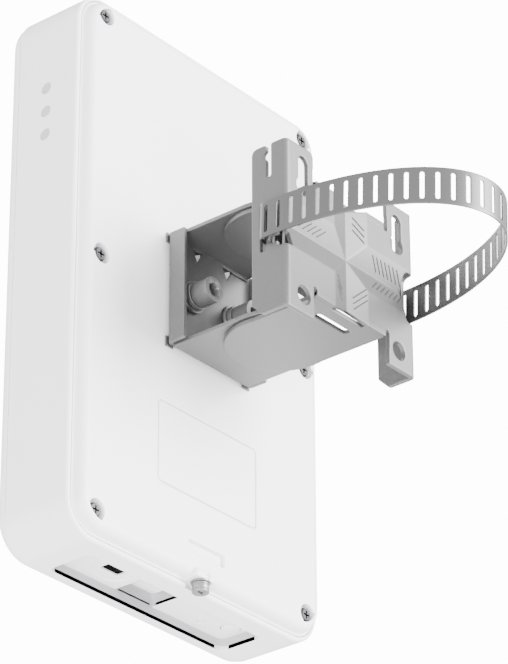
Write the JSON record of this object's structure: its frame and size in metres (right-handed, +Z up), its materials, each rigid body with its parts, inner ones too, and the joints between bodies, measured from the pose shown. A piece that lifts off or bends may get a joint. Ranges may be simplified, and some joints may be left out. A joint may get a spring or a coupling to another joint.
{
  "type": "outdoor wireless bridge",
  "caption": "Flat sealed outdoor radio panel with ports below, on a folded steel bracket that swivels in azimuth, with a V plate and slotted band clamp for a pole or keyholes for a wall.",
  "frame": {"origin": "middle of the pole bracket's V plate, in the plane of its flat pads, which is where it meets the pole or wall", "axes": "+Y out of the V plate to the pole or wall, +Z up, the radio's radome faces -Y, status lights on +X"},
  "size_m": [0.1754, 0.219, 0.2881],
  "materials": {
    "white_plastic": "smooth satin white, weather resistant",
    "label_film": "blank white film",
    "grey_powder_coat": "fine light grey powder coat",
    "stainless_band": "satin rolled steel",
    "zinc_steel": "bright zinc plated",
    "dark_steel": "dark plated steel",
    "brass": "machined",
    "black_rubber": "matte",
    "circuit_board": "green solder mask",
    "copper_patch": "bare foil",
    "aluminium": "milled",
    "black_plastic": "moulded",
    "grey_lens": "smoky translucent"
  },
  "bodies": {
    "bracket": {"pole_bracket": "grey_powder_coat", "pivot_pin_top": "zinc_steel", "pivot_pin_bottom": "zinc_steel", "band_strap": "stainless_band", "worm_housing": "stainless_band"},
    "device": {"radome_cover": "white_plastic", "housing": "white_plastic", "back_cover": "white_plastic", "port_bezel_1": "white_plastic", "port_bezel_2": "white_plastic", "pressure_vent": "white_plastic", "label": "label_film", "device_bracket": "grey_powder_coat", "ground_flat_washer": "zinc_steel", "ground_lock_washer": "zinc_steel", "ground_screw": "zinc_steel", "rf_shield": "zinc_steel", "flat_washer_left": "zinc_steel", "flat_washer_right": "zinc_steel", "spring_washer_left": "zinc_steel", "spring_washer_right": "zinc_steel", "cap_screw_left": "zinc_steel", "cap_screw_right": "zinc_steel", "cover_screw_1": "dark_steel", "cover_screw_2": "dark_steel", "cover_screw_3": "dark_steel", "cover_screw_4": "dark_steel", "cover_screw_5": "dark_steel", "cover_screw_6": "dark_steel", "backing_plate": "grey_powder_coat", "board_spacer_1": "brass", "board_spacer_2": "brass", "board_spacer_3": "brass", "board_spacer_4": "brass", "threaded_insert_left": "brass", "threaded_insert_right": "brass", "cover_gasket": "black_rubber", "antenna_board": "circuit_board", "main_board": "circuit_board", "antenna_patch_1": "copper_patch", "antenna_patch_2": "copper_patch", "antenna_patch_3": "copper_patch", "antenna_patch_4": "copper_patch", "reflector_plate": "aluminium", "heat_spreader": "aluminium", "antenna_spacer": "black_plastic", "network_jack_1": "black_plastic", "network_jack_2": "black_plastic", "reset_switch": "black_plastic", "light_pipe_top": "grey_lens", "light_pipe_middle": "grey_lens", "light_pipe_bottom": "grey_lens"},
    "worm": {"worm_screw": "zinc_steel"},
    "reset": {"reset_button": "white_plastic"}
  },
  "joints": [
    {"name": "azimuth_swivel", "type": "hinge", "parent": "bracket", "child": "device", "pos_m": [0, -0.043, 0], "axis": [0, 0, 1], "range_deg": [-60, 60]},
    {"name": "reset_press", "type": "slide", "parent": "device", "child": "reset", "axis": [0, 0, 1], "range_m": [0, 0.0008], "stiffness_N_per_m": 400, "springref_m": -0.0003},
    {"name": "worm_spin", "type": "hinge", "parent": "bracket", "child": "worm", "pos_m": [0, -0.0204, 0], "axis": [0.9992, 0, 0.04], "continuous": true}
  ]
}
